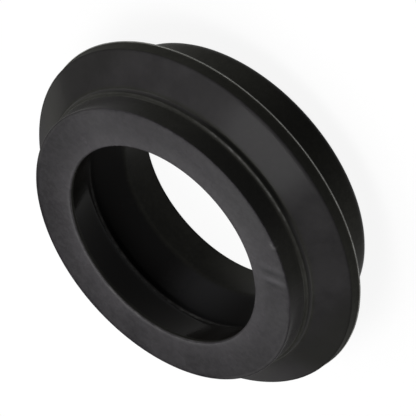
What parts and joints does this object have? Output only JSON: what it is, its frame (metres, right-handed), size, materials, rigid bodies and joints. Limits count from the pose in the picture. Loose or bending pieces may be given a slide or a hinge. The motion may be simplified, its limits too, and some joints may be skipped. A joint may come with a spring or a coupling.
{
  "type": "pipe seal",
  "caption": "Stepped black rubber ring with a flange and a lipped bore, pushed into a socket to seal the pipe that passes through it.",
  "frame": {"origin": "on the bore's axis, in the plane of the rear face that the seal stands on", "axes": "+Z along the bore's axis, from the rear face to the front face; X and Y are free, because the seal is a body of revolution"},
  "size_m": [0.055, 0.055, 0.0172],
  "materials": {
    "rubber": "satin"
  },
  "bodies": {
    "root": {"seal_ring": "rubber"}
  },
  "joints": []
}
